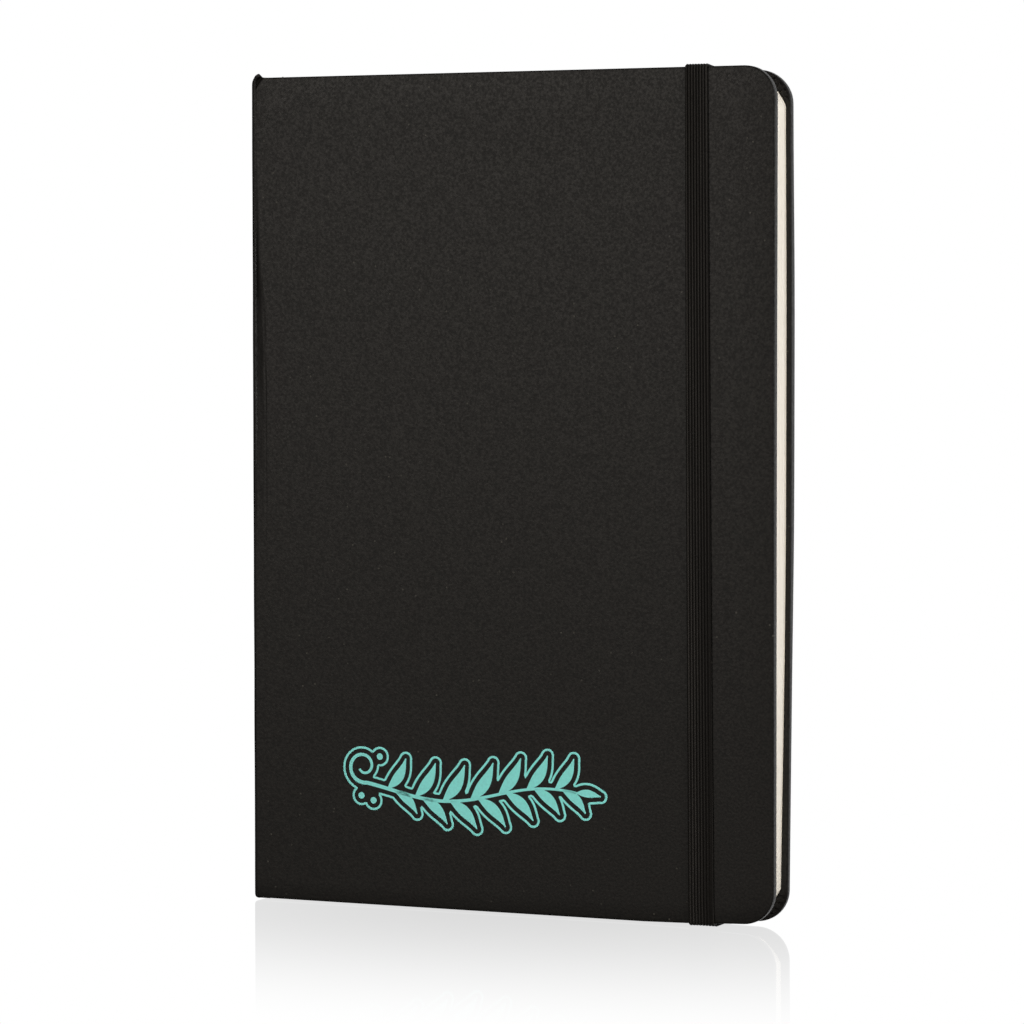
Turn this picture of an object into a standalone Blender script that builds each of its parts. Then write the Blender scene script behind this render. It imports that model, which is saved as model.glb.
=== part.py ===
"""Hardcover sketchbook standing on its foot edge.

+X points to the fore-edge, -Y is the front cover, +Z is up. The origin is the
middle of the foot. Every size below is in millimetres and MM turns it into metres.
"""
import math

import bmesh
import bpy

MM = 0.001

# Driving dimensions
BOOK_WIDTH = 142.0
BOOK_HEIGHT = 210.0
BOOK_THICKNESS = 14.4
GLUE_GAP = 0.15
SHEET_GAP = 0.1

# Covering, boards and pastedowns
COVERING = 0.5
TURN_IN = 0.3
TURN_IN_WIDTH = 14.0
BOARD = 1.4
PAPER = 0.15
COVER_CORNER_RADIUS = 8.0
COVERING_RIM_RADIUS = 0.4
HINGE_CORNER_CUT = 1.6
PASTEDOWN_MARGIN = 0.8
ARC_STEPS = 8

# Spine and hinges
JOINT_WIDTH = 3.5
SPINE_FLANGE = 1.5
SPINE_CORNER_RADIUS = 1.5
SPINE_CARD = 1.15
SPINE_LINER = 0.35
JOINT_SINK = 0.15
HINGE_STAND_OFF = 0.15
HINGE_FROM_SPINE = 2.5

# Text block
HEAD_MARGIN = 2.5
FORE_EDGE_MARGIN = 0.85
BLOCK_BACK = 3.0
PAGE_CUT_X = 5.5
PAGE_CUT_Z = 6.8
PAGE_CUT_BULGE = 0.5
FRONT_LEAVES = 7
BACK_LEAVES = 4
SECTIONS = 6
THREAD_STATIONS = 5
THREAD_DIAMETER = 0.5
HEADBAND_DIAMETER = 1.3

# Elastic closure
ELASTIC_WIDTH = 6.0
ELASTIC_THICKNESS = 0.6
ELASTIC_FROM_FORE_EDGE = 19.8
ELASTIC_SLOT_FROM_END = 15.0
ELASTIC_SLOT_CLEARANCE = 0.4

# Printed sprig on the front cover
PRINT_THICKNESS = 0.1
PRINT_CENTRE_X = -15.0
PRINT_CENTRE_Z = 30.0
PRINT_LENGTH = 66.0
PRINT_LEAF_PAIRS = 6
PRINT_LEAF_LENGTH = 11.0
PRINT_LEAF_WIDTH = 4.4
PRINT_STEM_WIDTH = 1.2

HALF_WIDTH = BOOK_WIDTH / 2
HALF_THICKNESS = BOOK_THICKNESS / 2
JOINT_X = -HALF_WIDTH + JOINT_WIDTH
BLOCK_X = -HALF_WIDTH + BLOCK_BACK
HINGE_X = -HALF_WIDTH + HINGE_FROM_SPINE
HINGE_Y = HALF_THICKNESS + HINGE_STAND_OFF
CASE_THICKNESS = COVERING + GLUE_GAP + BOARD + GLUE_GAP + TURN_IN
BOARD_INSET = COVERING + GLUE_GAP
COVER_THICKNESS = CASE_THICKNESS + SHEET_GAP + PAPER
ELASTIC_X = HALF_WIDTH - ELASTIC_FROM_FORE_EDGE


def new_material(name, colour, roughness, metallic=0.0):
    material = bpy.data.materials.new(name)
    material.use_nodes = True
    shader = material.node_tree.nodes["Principled BSDF"]
    shader.inputs["Base Color"].default_value = (*colour, 1.0)
    shader.inputs["Roughness"].default_value = roughness
    shader.inputs["Metallic"].default_value = metallic
    material.diffuse_color = (*colour, 1.0)
    return material


def new_collection(name):
    collection = bpy.data.collections.new(name)
    bpy.context.scene.collection.children.link(collection)
    return collection


def arc(centre_x, centre_y, radius, start_deg, end_deg, steps=ARC_STEPS):
    points = []
    for step in range(steps + 1):
        angle = math.radians(start_deg + (end_deg - start_deg) * step / steps)
        points.append((centre_x + radius * math.cos(angle), centre_y + radius * math.sin(angle)))
    return points


def cover_outline(inset, hinge_edge):
    """A cover seen from the front: round fore-edge corners, cut corners at the hinge."""
    right = HALF_WIDTH - inset
    top = BOOK_HEIGHT - inset
    radius = COVER_CORNER_RADIUS - inset
    cut = HINGE_CORNER_CUT
    points = [(hinge_edge, inset + cut), (hinge_edge + cut, inset)]
    points += arc(right - radius, inset + radius, radius, -90, 0)
    points += arc(right - radius, top - radius, radius, 0, 90)
    points += [(hinge_edge + cut, top), (hinge_edge, top - cut)]
    return points


def page_corner(right, top, direction):
    """The trimmed fore-edge corner of a page, as a shallow curve between its two ends."""
    start = (right, top - direction * PAGE_CUT_Z)
    end = (right - PAGE_CUT_X, top)
    bend = (
        (start[0] + end[0]) / 2 + PAGE_CUT_BULGE,
        (start[1] + end[1]) / 2 + direction * PAGE_CUT_BULGE,
    )
    points = []
    for step in range(5):
        t = step / 4
        points.append(
            tuple(
                (1 - t) ** 2 * start[axis] + 2 * t * (1 - t) * bend[axis] + t**2 * end[axis]
                for axis in (0, 1)
            )
        )
    return points


def page_outline(left=BLOCK_X):
    right = HALF_WIDTH - FORE_EDGE_MARGIN
    top = BOOK_HEIGHT - HEAD_MARGIN
    points = [(left, HEAD_MARGIN)]
    points += reversed(page_corner(right, HEAD_MARGIN, -1))
    points += page_corner(right, top, 1)
    points += [(left, top)]
    return points


def rectangle(low_a, high_a, low_b, high_b):
    return [(low_a, low_b), (high_a, low_b), (high_a, high_b), (low_a, high_b)]


# Rotations that stand the flat outline's own X, Y and thickness on the frame's axes
FACING_FRONT = (math.radians(90), 0.0, 0.0)
FACING_UP = (0.0, 0.0, 0.0)
FACING_SIDE = (math.radians(90), 0.0, math.radians(90))


def plate(name, outline, low, high, facing, collection, material=None, rim=0.0):
    """A flat outline with a thickness from low to high, measured across its own plane.

    The outline's two numbers are X and Z facing the front, X and Y facing up,
    Y and Z facing the side. A rim rounds the outline's edges, which it then sits inside.
    """
    curve = bpy.data.curves.new(name, "CURVE")
    curve.dimensions = "2D"
    curve.fill_mode = "BOTH"
    curve.extrude = ((high - low) / 2 - rim) * MM
    curve.bevel_depth = rim * MM
    curve.bevel_resolution = 1
    curve.offset = -rim * MM
    spline = curve.splines.new("POLY")
    spline.points.add(len(outline) - 1)
    for point, (a, b) in zip(spline.points, outline):
        point.co = (a * MM, b * MM, 0.0, 1.0)
    spline.use_cyclic_u = True

    guide = bpy.data.objects.new(name + "_outline", curve)
    bpy.context.scene.collection.objects.link(guide)
    evaluated = guide.evaluated_get(bpy.context.evaluated_depsgraph_get())
    mesh = bpy.data.meshes.new_from_object(evaluated)
    mesh.name = name
    bpy.data.objects.remove(guide)

    shape = bmesh.new()
    shape.from_mesh(mesh)
    bmesh.ops.remove_doubles(shape, verts=shape.verts, dist=0.00001)
    bmesh.ops.dissolve_limit(shape, angle_limit=0.001, verts=shape.verts, edges=shape.edges)
    bmesh.ops.recalc_face_normals(shape, faces=shape.faces)
    shape.to_mesh(mesh)
    shape.free()

    piece = bpy.data.objects.new(name, mesh)
    middle = (low + high) / 2 * MM
    piece.rotation_euler = facing
    if facing == FACING_FRONT:
        piece.location.y = middle
    elif facing == FACING_UP:
        piece.location.z = middle
    else:
        piece.location.x = middle
    collection.objects.link(piece)
    if material:
        mesh.materials.clear()
        mesh.materials.append(material)
    return piece


def block(name, low, high, collection, material=None):
    """A box between two corners, with its faces along the frame's axes."""
    return plate(
        name, rectangle(low[0], high[0], low[1], high[1]), low[2], high[2], FACING_UP, collection, material
    )


def cut(piece, cutter):
    cutter.hide_render = True
    cutter.display_type = "WIRE"
    boolean = piece.modifiers.new(cutter.name, "BOOLEAN")
    boolean.operation = "DIFFERENCE"
    boolean.solver = "EXACT"
    boolean.object = cutter


def join(piece, other):
    other.hide_render = True
    other.display_type = "WIRE"
    boolean = piece.modifiers.new(other.name, "BOOLEAN")
    boolean.operation = "UNION"
    boolean.solver = "EXACT"
    boolean.object = other


def hang(piece, parent):
    """Parents a piece without moving it."""
    bpy.context.view_layer.update()
    piece.parent = parent
    piece.matrix_parent_inverse = parent.matrix_world.inverted()


def new_pivot(name, x, y, collection):
    pivot = bpy.data.objects.new(name, None)
    pivot.location = (x * MM, y * MM, 0.0)
    collection.objects.link(pivot)
    return pivot


def span(side, near, far):
    """Turns distances from the outer face inward into Y limits on the front (-1) or back (+1)."""
    limits = (side * (HALF_THICKNESS - near), side * (HALF_THICKNESS - far))
    return min(limits), max(limits)


def make_cover(prefix, side, book, cutters, looks):
    """One board in its covering, with turned-in edges and the pastedown that hides them."""
    board_edge = JOINT_X + GLUE_GAP
    pocket_near = COVERING
    pocket_far = pocket_near + GLUE_GAP + BOARD + GLUE_GAP

    covering = plate(
        prefix + "_covering",
        cover_outline(0.0, JOINT_X),
        *span(side, 0.0, CASE_THICKNESS),
        FACING_FRONT,
        book,
        looks["covering"],
        COVERING_RIM_RADIUS,
    )
    pocket = plate(
        prefix + "_board_pocket",
        cover_outline(COVERING, JOINT_X - JOINT_WIDTH),
        *span(side, pocket_near, pocket_far),
        FACING_FRONT,
        cutters,
    )
    window_right = HALF_WIDTH - TURN_IN_WIDTH
    window_top = BOOK_HEIGHT - TURN_IN_WIDTH
    window = plate(
        prefix + "_turn_in_window",
        rectangle(JOINT_X - JOINT_WIDTH, window_right, TURN_IN_WIDTH, window_top),
        *span(side, pocket_near + GLUE_GAP, CASE_THICKNESS + 1.0),
        FACING_FRONT,
        cutters,
    )
    cut(covering, pocket)
    cut(covering, window)

    board = plate(
        prefix + "_board",
        cover_outline(BOARD_INSET, board_edge),
        *span(side, BOARD_INSET, BOARD_INSET + BOARD),
        FACING_FRONT,
        book,
        looks["board"],
    )
    pastedown = plate(
        prefix + "_pastedown",
        page_outline(JOINT_X + PASTEDOWN_MARGIN),
        *span(side, CASE_THICKNESS + SHEET_GAP, COVER_THICKNESS),
        FACING_FRONT,
        book,
        looks["paper"],
    )
    return [covering, board, pastedown]


def make_elastic_ends(book, cutters, looks, covering, board):
    """The two ends of the elastic: down the back cover, then in through a slot."""
    outer_low = HALF_THICKNESS + SHEET_GAP
    outer_high = outer_low + ELASTIC_THICKNESS
    inner = HALF_THICKNESS - COVERING - GLUE_GAP - BOARD + SHEET_GAP
    pieces = []
    for name, end, direction in (("head", BOOK_HEIGHT, -1), ("tail", 0.0, 1)):
        slot_edge = end + direction * ELASTIC_SLOT_FROM_END
        slot_floor = slot_edge - direction * ELASTIC_THICKNESS
        outline = [
            (outer_high, end),
            (outer_high, slot_edge),
            (inner, slot_edge),
            (inner, slot_floor),
            (outer_low, slot_floor),
            (outer_low, end),
        ]
        piece = plate(
            "elastic_anchor_" + name,
            outline,
            ELASTIC_X - ELASTIC_WIDTH / 2,
            ELASTIC_X + ELASTIC_WIDTH / 2,
            FACING_SIDE,
            book,
            looks["elastic"],
        )
        low = min(slot_edge, slot_floor) - ELASTIC_SLOT_CLEARANCE
        high = max(slot_edge, slot_floor) + ELASTIC_SLOT_CLEARANCE
        slot = block(
            "elastic_slot_" + name,
            (ELASTIC_X - ELASTIC_WIDTH / 2 - ELASTIC_SLOT_CLEARANCE, 0.0, low),
            (ELASTIC_X + ELASTIC_WIDTH / 2 + ELASTIC_SLOT_CLEARANCE, HALF_THICKNESS + 1.0, high),
            cutters,
        )
        cut(covering, slot)
        cut(board, slot)
        pieces.append(piece)
    return pieces


def make_elastic_loop(book, looks):
    """The stretch that closes the book: a run down the front and a leg over each end."""
    near = -HALF_THICKNESS - SHEET_GAP
    left = ELASTIC_X - ELASTIC_WIDTH / 2
    right = ELASTIC_X + ELASTIC_WIDTH / 2
    reach = SHEET_GAP + ELASTIC_THICKNESS
    run = block(
        "elastic_front_run",
        (left, near - ELASTIC_THICKNESS, -reach),
        (right, near, BOOK_HEIGHT + reach),
        book,
        looks["elastic"],
    )
    head = block(
        "elastic_head_leg",
        (left, near + SHEET_GAP, BOOK_HEIGHT + SHEET_GAP),
        (right, HALF_THICKNESS + reach, BOOK_HEIGHT + reach),
        book,
        looks["elastic"],
    )
    tail = block(
        "elastic_tail_leg",
        (left, near + SHEET_GAP, -reach),
        (right, HALF_THICKNESS + reach, -SHEET_GAP),
        book,
        looks["elastic"],
    )
    return [run, head, tail]


def make_spine(book, looks):
    """The spine's covering, its card stiffener and the liner glued to the sewn sheets."""
    outer = HALF_THICKNESS
    inner = outer - COVERING
    left = -HALF_WIDTH
    flange = left + SPINE_FLANGE
    radius = SPINE_CORNER_RADIUS
    inner_radius = radius - COVERING
    outline = [(flange, outer)]
    outline += arc(left + radius, outer - radius, radius, 90, 180, 4)
    outline += arc(left + radius, -outer + radius, radius, 180, 270, 4)
    outline += [(flange, -outer), (flange, -inner)]
    outline += reversed(arc(left + radius, -outer + radius, inner_radius, 180, 270, 4))
    outline += reversed(arc(left + radius, outer - radius, inner_radius, 90, 180, 4))
    outline += [(flange, inner)]
    tidy = []
    for point in outline:
        if not tidy or math.dist(tidy[-1], point) > 0.01:
            tidy.append(point)
    plate("spine_covering", tidy, 0.0, BOOK_HEIGHT, FACING_UP, book, looks["covering"])

    card_left = left + COVERING + GLUE_GAP
    card_half = inner - inner_radius
    block(
        "spine_card",
        (card_left, -card_half, BOARD_INSET),
        (card_left + SPINE_CARD, card_half, BOOK_HEIGHT - BOARD_INSET),
        book,
        looks["board"],
    )
    liner_right = BLOCK_X - THREAD_DIAMETER - 2 * SHEET_GAP
    half = HALF_THICKNESS - COVER_THICKNESS - GLUE_GAP
    block(
        "spine_liner",
        (liner_right - SPINE_LINER, -half, HEAD_MARGIN + 5.0),
        (liner_right, half, BOOK_HEIGHT - HEAD_MARGIN - 5.0),
        book,
        looks["gauze"],
    )


def make_joint(prefix, side, book, looks):
    """The strip of covering that folds, and the strip of endpaper that folds behind it."""
    y_low, y_high = span(side, JOINT_SINK, JOINT_SINK + COVERING)
    block(
        prefix + "_joint_covering",
        (-HALF_WIDTH + SPINE_FLANGE + SHEET_GAP, y_low, 0.0),
        (JOINT_X - SHEET_GAP, y_high, BOOK_HEIGHT),
        book,
        looks["covering"],
    )
    y_low, y_high = span(side, CASE_THICKNESS + SHEET_GAP, COVER_THICKNESS)
    block(
        prefix + "_joint_paper",
        (BLOCK_X, y_low, HEAD_MARGIN),
        (JOINT_X + PASTEDOWN_MARGIN - SHEET_GAP, y_high, BOOK_HEIGHT - HEAD_MARGIN),
        book,
        looks["paper"],
    )


def make_sheets(book, looks):
    """Loose leaves behind each cover with the sewn sections between them."""
    half = HALF_THICKNESS - COVER_THICKNESS - GLUE_GAP
    outline = page_outline()
    leaves = []
    for prefix, side, count in (("front", -1, FRONT_LEAVES), ("back", 1, BACK_LEAVES)):
        for number in range(count):
            outer = half - number * (PAPER + SHEET_GAP)
            limits = (side * outer, side * (outer - PAPER))
            name = prefix + "_flyleaf" if number == 0 else f"{prefix}_leaf_{number}"
            leaf = plate(
                name, outline, min(limits), max(limits), FACING_FRONT, book, looks["paper"]
            )
            leaves.append((prefix, leaf))

    low = -half + FRONT_LEAVES * (PAPER + SHEET_GAP)
    high = half - BACK_LEAVES * (PAPER + SHEET_GAP)
    pitch = (high - low + SHEET_GAP) / SECTIONS
    for number in range(SECTIONS):
        start = low + number * pitch
        end = start + pitch - SHEET_GAP
        plate(
            f"section_{number + 1}", outline, start, end, FACING_FRONT, book, looks["paper"]
        )
    return leaves


def make_sewing(book, looks):
    """Thread across the back folds of the sections, and a band at each end of the spine."""
    half = HALF_THICKNESS - COVER_THICKNESS - GLUE_GAP
    centre_x = BLOCK_X - SHEET_GAP - THREAD_DIAMETER / 2
    stitch_zone = BOOK_HEIGHT - 2 * HEAD_MARGIN
    for number in range(THREAD_STATIONS):
        z = HEAD_MARGIN + stitch_zone * (number + 0.5) / THREAD_STATIONS
        bpy.ops.mesh.primitive_cylinder_add(
            vertices=8,
            radius=THREAD_DIAMETER / 2 * MM,
            depth=2 * half * MM,
            location=(centre_x * MM, 0.0, z * MM),
            rotation=(math.radians(90), 0.0, 0.0),
        )
        take_primitive(book, f"sewing_thread_{number + 1}", looks["thread"])

    offset = HEAD_MARGIN - HEADBAND_DIAMETER / 2 - SHEET_GAP
    for name, z in (("headband", BOOK_HEIGHT - offset), ("tailband", offset)):
        bpy.ops.mesh.primitive_cylinder_add(
            vertices=12,
            radius=HEADBAND_DIAMETER / 2 * MM,
            depth=2 * half * MM,
            location=((BLOCK_X + HEADBAND_DIAMETER / 2) * MM, 0.0, z * MM),
            rotation=(math.radians(90), 0.0, 0.0),
        )
        take_primitive(book, name, looks["band"])


def take_primitive(book, name, material):
    """Names the primitive that was just added and moves it into the book's collection."""
    piece = bpy.context.object
    piece.name = name
    piece.data.name = name
    piece.data.materials.append(material)
    piece.data.shade_smooth()
    piece.data.set_sharp_from_angle(angle=math.radians(40))
    for collection in list(piece.users_collection):
        collection.objects.unlink(piece)
    book.objects.link(piece)


def stem_point(t):
    """The sprig's stem: a shallow S along the length of the print, t from 0 to 1."""
    x = PRINT_CENTRE_X + (t - 0.5) * PRINT_LENGTH
    z = PRINT_CENTRE_Z + 2.2 * math.sin((t - 0.5) * 2 * math.pi)
    return x, z


def make_print(book, cutters, looks):
    """A leafy sprig in ink: one stem with pairs of pointed leaves, all one flat shape."""
    outer = -HALF_THICKNESS - SHEET_GAP / 2
    limits = (outer - PRINT_THICKNESS, outer)
    steps = 16
    upper = []
    lower = []
    for step in range(steps + 1):
        x, z = stem_point(step / steps)
        upper.append((x, z + PRINT_STEM_WIDTH / 2))
        lower.append((x, z - PRINT_STEM_WIDTH / 2))
    stem = plate(
        "cover_print", lower + upper[::-1], *limits, FACING_FRONT, book, looks["print"]
    )
    for number in range(PRINT_LEAF_PAIRS):
        t = 0.12 + 0.8 * number / (PRINT_LEAF_PAIRS - 1)
        x, z = stem_point(t)
        for side in (-1, 1):
            direction = side * math.radians(48)
            outline = leaf_outline(x, z, direction, PRINT_LEAF_LENGTH, PRINT_LEAF_WIDTH)
            if side < 0:
                outline.reverse()
            label = "low" if side < 0 else "high"
            leaf = plate(
                f"print_leaf_{number + 1}_{label}", outline, *limits, FACING_FRONT, cutters
            )
            join(stem, leaf)
    return stem


def leaf_outline(x, z, direction, length, width, steps=6):
    along = (math.cos(direction), math.sin(direction))
    across = (-along[1], along[0])
    points = []
    for side in (1, -1):
        for step in range(steps):
            t = step / steps if side > 0 else 1 - step / steps
            swell = side * width / 2 * math.sin(math.pi * t) ** 0.8 if 0 < t < 1 else 0.0
            points.append(
                (
                    x + along[0] * length * t + across[0] * swell,
                    z + along[1] * length * t + across[1] * swell,
                )
            )
    return points


def main():
    for thing in list(bpy.data.objects):
        bpy.data.objects.remove(thing)
    book = new_collection("sketchbook")
    cutters = new_collection("cutters")
    looks = {
        "covering": new_material("covering", (0.022, 0.021, 0.019), 0.45),
        "board": new_material("board", (0.35, 0.32, 0.28), 0.9),
        "paper": new_material("paper", (0.80, 0.75, 0.66), 0.85),
        "gauze": new_material("gauze", (0.72, 0.70, 0.64), 0.9),
        "thread": new_material("thread", (0.85, 0.83, 0.78), 0.7),
        "band": new_material("band", (0.03, 0.03, 0.03), 0.6),
        "elastic": new_material("elastic", (0.014, 0.011, 0.011), 0.7),
        "print": new_material("print", (0.21, 0.67, 0.57), 0.5),
    }
    front_pivot = new_pivot("front_hinge", HINGE_X, -HINGE_Y, book)
    back_pivot = new_pivot("back_hinge", HINGE_X, HINGE_Y, book)

    front = make_cover("front", -1, book, cutters, looks)
    front.append(make_print(book, cutters, looks))
    back = make_cover("back", 1, book, cutters, looks)
    back += make_elastic_ends(book, cutters, looks, back[0], back[1])
    back += make_elastic_loop(book, looks)
    make_spine(book, looks)
    make_joint("front", -1, book, looks)
    make_joint("back", 1, book, looks)
    make_sewing(book, looks)
    for prefix, leaf in make_sheets(book, looks):
        if prefix == "front":
            front.append(leaf)
        else:
            back.append(leaf)

    for piece in front:
        hang(piece, front_pivot)
    for piece in back:
        hang(piece, back_pivot)


main()
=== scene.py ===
"""Looks of the hardcover sketchbook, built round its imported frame.

Metres. +X points to the fore-edge, -Y is the front cover, +Z is up, and the book
stands on z = 0. Sizes that a person would read off a ruler are in millimetres times MM.
"""

import math

import bmesh
import bpy
import numpy as np
from mathutils import Matrix, Vector, noise

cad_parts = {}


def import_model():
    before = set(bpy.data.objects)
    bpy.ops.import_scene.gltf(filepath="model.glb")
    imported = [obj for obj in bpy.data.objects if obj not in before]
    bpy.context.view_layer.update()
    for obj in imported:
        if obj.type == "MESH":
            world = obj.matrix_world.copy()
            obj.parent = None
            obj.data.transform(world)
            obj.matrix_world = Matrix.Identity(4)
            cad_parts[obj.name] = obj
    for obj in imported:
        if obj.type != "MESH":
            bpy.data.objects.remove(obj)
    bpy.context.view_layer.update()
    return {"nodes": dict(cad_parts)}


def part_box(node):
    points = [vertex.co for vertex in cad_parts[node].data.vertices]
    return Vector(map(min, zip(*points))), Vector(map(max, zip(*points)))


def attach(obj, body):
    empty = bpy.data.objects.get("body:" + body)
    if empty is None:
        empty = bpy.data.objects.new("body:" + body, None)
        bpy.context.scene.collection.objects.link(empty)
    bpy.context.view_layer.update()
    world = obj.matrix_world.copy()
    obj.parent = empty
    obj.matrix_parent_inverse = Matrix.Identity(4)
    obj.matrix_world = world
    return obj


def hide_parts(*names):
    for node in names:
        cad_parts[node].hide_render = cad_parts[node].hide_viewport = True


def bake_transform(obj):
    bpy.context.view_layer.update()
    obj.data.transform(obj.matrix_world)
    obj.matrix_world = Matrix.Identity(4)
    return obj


MM = 0.001

# The book, in the frame's own sizes
HALF_WIDTH = 71.0 * MM
HEIGHT = 210.0 * MM
HALF_THICKNESS = 7.2 * MM
CASE = 2.5 * MM
BOARD = 1.4 * MM
BOARD_DEPTH = 0.65 * MM

# Covering
CORNER_RADIUS = 8.0 * MM
CORNER_STEPS = 12
RIM_RADIUS = 0.42 * MM
LEATHER = 0.45 * MM
LEATHER_EDGE = -66.4 * MM
BOARD_EDGE = -67.3 * MM

# Pleats where the turn-in goes round a corner: height on the front and on the back board
PLEAT_HEIGHT = (0.2 * MM, 0.75 * MM)
PLEAT_HOLLOW = 0.12 * MM
PLEAT_REACH = 1.5 * MM
TURN_IN_START = 0.9 * MM
TURN_IN_REST = 3.4 * MM

# Spine and joints
SPINE_EDGE = -69.8 * MM
SPINE_RADIUS = 1.19 * MM
SPINE_RISE = 0.35 * MM
SPINE_HEAD = 2.2 * MM
SPINE_FOOT = 1.1 * MM
SOFT_PULL = 0.6
SPINE_WALL = 0.5 * MM
JOINT_WALL = 0.75 * MM
JOINT_START = -69.7 * MM

# How the joint leather sinks, wrinkles and folds over at its top corner
CREASE_DEPTH = 0.62 * MM
CREASE_BASE = 0.14 * MM
PUCKER_HEIGHT = 0.12 * MM
PUCKER_WIDTH = 0.35 * MM
LUMP_HEIGHT = 0.06 * MM
FOLD_WIDTH = 2.7 * MM
FOLD_DROP = 4.2 * MM
FOLD_DEPTH = (0.22 * MM, 0.75 * MM)

# Where the loose leaves curve out of the gutter
GUTTER_END = -54.0 * MM

# Pages
PAGE_LEFT = -68.0 * MM
PAGE_RIGHT = 70.15 * MM
PAGE_LOW = 2.5 * MM
PAGE_HIGH = 207.5 * MM
PAGE_CUT = 5.5 * MM
FOOT_CUT = 6.1 * MM
HEAD_CUT = 6.8 * MM
SHEETS_IN_SECTION = 5
SHEET_SPACE = 0.012 * MM

# Elastic
BAND_X = 51.2 * MM
BAND_WIDTH = 6.0 * MM
BAND_THICKNESS = 0.6 * MM
BAND_RIBS = 8
BAND_GAP = 0.1 * MM
BAND_BEND = 0.5 * MM
BAND_SLOT = 15.0 * MM
BAND_SLANT = 1.45 * MM
BAND_PIVOT = 0.71
BAND_SPREAD = 0.13
BAND_DIP = 0.45 * MM
BAND_TUCK = 0.42 * MM
BAND_GROOVE = 0.26 * MM
BAND_LEAST = 0.06 * MM
BAND_BURIED = 1.9 * MM

# Printed sprig
INK_RAISE = 0.035 * MM
SPRIG_LEFT = -38.5 * MM
SPRIG_RIGHT = 19.0 * MM
SPRIG_Z = 29.6 * MM
SPRIG_WAVE = 2.2 * MM
LEAF_PAIRS = 7
STEM_STEPS = 48
CURL_STEPS = 43
LEAF_STEPS = 14
RING_STEPS = 16
OUTLINE_AWAY = 1.35 * MM
OUTLINE_WIDTH = 0.3 * MM
OUTLINE_PITCH = 0.25 * MM

# How the closed book has settled at its fore-edge: near foot and head the back board comes
# in further than the front one, and the used corners have crept towards the middle
PINCH_FOOT = (0.06, 0.34)
PINCH_HEAD = (0.02, 0.10)
BACK_BOW = 0.09
FOOT_CREEP = (0.9 * MM, 0.3 * MM)
HEAD_CREEP = 0.95 * MM
FOOT_WEAR = 0.3 * MM

# How far the pages stand back from the fore-edge, all along and more at the foot
PAGE_BACK = 0.44 * MM
PAGE_SLUMP = 0.58 * MM

# Room
FLOOR_LEVEL = -0.45 * MM
FLOOR_POLISH = 0.29
FLOOR_POLISH_REACH = 0.172
CAMERA_PLACE = (0.4141, -0.9484, 0.1509)
CAMERA_YAW = 23.66
CAMERA_PITCH = 2.80
CAMERA_ROLL = -0.053
CAMERA_LENS = 145.22
WARM = (1.0, 0.94, 0.87)
NEUTRAL = (1.0, 0.99, 0.97)
PAGE_EDGE = (0.07, 0.0, 0.1)


def srgb(red, green, blue):
    """Turns a 0 to 255 colour into the numbers that a shader takes."""
    numbers = []
    for channel in (red, green, blue):
        part = channel / 255
        numbers.append(part / 12.92 if part < 0.04045 else ((part + 0.055) / 1.055) ** 2.4)
    return (*numbers, 1.0)


def smooth_step(value, low, high):
    """Rises smoothly from 0 at low to 1 at high."""
    t = min(1.0, max(0.0, (value - low) / (high - low)))
    return t * t * (3 - 2 * t)


# ---------------------------------------------------------------- shape helpers


def new_piece(name, shape, material, smooth_angle=35):
    """Turns a bmesh into an object at the origin with its smooth and sharp edges set."""
    mesh = bpy.data.meshes.new(name)
    shape.to_mesh(mesh)
    shape.free()
    mesh.shade_smooth()
    mesh.set_sharp_from_angle(angle=math.radians(smooth_angle))
    mesh.materials.append(material)
    piece = bpy.data.objects.new(name, mesh)
    bpy.context.scene.collection.objects.link(piece)
    return piece


def facing_front(left, right, low, high, y):
    """A placing that stands a unit square up between these X and Z limits."""
    return (
        Matrix.Translation(((left + right) / 2, y, (low + high) / 2))
        @ Matrix.Rotation(math.radians(90), 4, "X")
        @ Matrix.Diagonal((right - left, high - low, 1.0, 1.0))
    )


def blank(left, right, low, high, y):
    """A flat upright sheet, ready to be trimmed and thickened."""
    shape = bmesh.new()
    place = facing_front(left, right, low, high, y)
    bmesh.ops.create_grid(shape, x_segments=1, y_segments=1, size=0.5, matrix=place)
    return shape


def trim_corner(shape, x, z, reach_x, reach_z, steps, profile):
    """Cuts the corner at x, z back by a reach along each of its edges."""
    corner = min(shape.verts, key=lambda vert: abs(vert.co.x - x) + abs(vert.co.z - z))
    bmesh.ops.bevel(
        shape,
        geom=[corner],
        offset=reach_x,
        offset_type="OFFSET",
        affect="VERTICES",
        segments=steps,
        profile=profile,
        material=-1,
    )
    for vert in shape.verts:
        if abs(vert.co.x - x) <= reach_x * 1.001 and abs(vert.co.z - z) <= reach_x * 1.001:
            vert.co.z = z + (vert.co.z - z) * reach_z / reach_x


def thicken(shape, depth):
    """Gives a flat blank its thickness along Y."""
    result = bmesh.ops.extrude_face_region(shape, geom=shape.faces[:])
    moved = [item for item in result["geom"] if isinstance(item, bmesh.types.BMVert)]
    bmesh.ops.translate(shape, verts=moved, vec=(0.0, depth, 0.0))
    bmesh.ops.recalc_face_normals(shape, faces=shape.faces[:])


def round_rim(shape, radius, steps, from_x):
    """Rounds the long edges of a board, apart from those at the hinge side."""
    rim = []
    for edge in shape.edges:
        level = abs(edge.verts[0].co.y - edge.verts[1].co.y) < 1e-7
        outside = max(edge.verts[0].co.x, edge.verts[1].co.x) > from_x
        if level and outside and edge.calc_face_angle(0.0) > 1.2:
            rim.append(edge)
    bmesh.ops.bevel(
        shape,
        geom=rim,
        offset=radius,
        offset_type="OFFSET",
        affect="EDGES",
        segments=steps,
        profile=0.5,
        material=-1,
    )


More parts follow.
